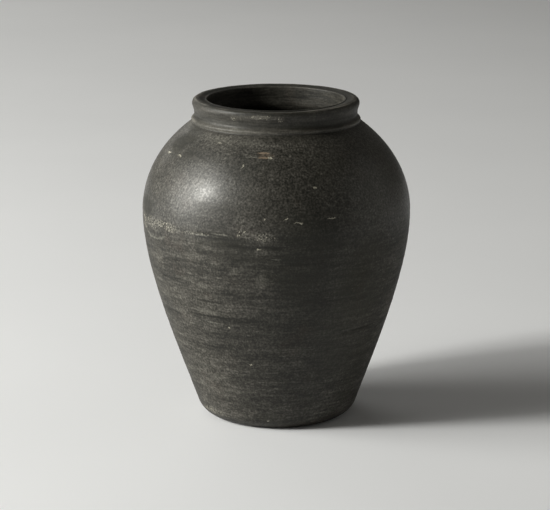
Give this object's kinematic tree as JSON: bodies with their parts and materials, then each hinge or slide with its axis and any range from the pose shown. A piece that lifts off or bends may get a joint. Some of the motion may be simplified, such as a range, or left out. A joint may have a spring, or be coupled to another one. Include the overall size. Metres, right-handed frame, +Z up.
{
  "type": "clay pot",
  "caption": "Round-bellied black clay jar with a narrow foot, a broad shoulder, a short hollowed neck, a thick rounded lip and an open mouth.",
  "frame": {"origin": "on the pot's axis, at the centre of the flat underside, level with the ground it stands on", "axes": "+Z straight up along the pot's axis and out of its mouth; +X and +Y level; the side seen in the source view faces -Y"},
  "size_m": [0.299, 0.299, 0.36],
  "materials": {
    "black_clay": "matte",
    "black_clay_rubbed": "satin"
  },
  "bodies": {
    "root": {"floor_slab": "black_clay", "lower_bowl": "black_clay", "upper_bowl": "black_clay_rubbed", "neck_collar": "black_clay_rubbed", "rim_coil": "black_clay_rubbed"}
  },
  "joints": []
}
